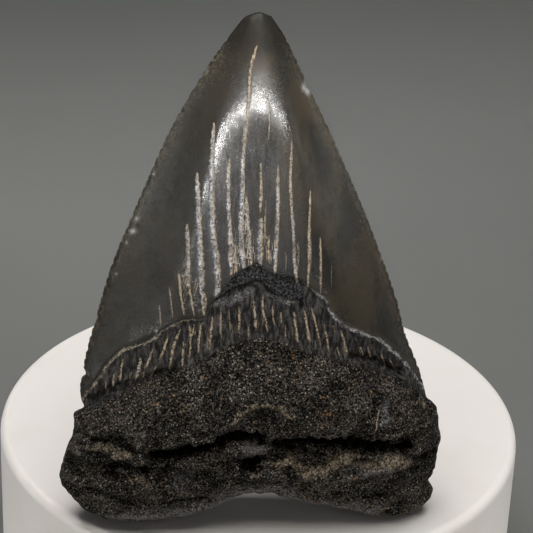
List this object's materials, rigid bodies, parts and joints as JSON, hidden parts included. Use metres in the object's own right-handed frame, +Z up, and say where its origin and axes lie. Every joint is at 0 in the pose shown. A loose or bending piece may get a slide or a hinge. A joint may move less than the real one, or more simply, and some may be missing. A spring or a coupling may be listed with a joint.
{
  "type": "megalodon tooth",
  "caption": "Fossil shark tooth, black with a worn saw edge and a rough two-lobed root, standing upright on a round white display pedestal.",
  "frame": {"origin": "centre of the pedestal's underside", "axes": "+Z up along the tooth, -Y towards the side the tooth shows (its lingual face), +X to the right of someone facing it"},
  "size_m": [0.14, 0.14, 0.1745],
  "materials": {
    "tooth": "glossy black enamel over a matt, grainy root",
    "pedestal": "satin white"
  },
  "bodies": {
    "root": {"tooth": "tooth", "pedestal": "pedestal"}
  },
  "joints": []
}
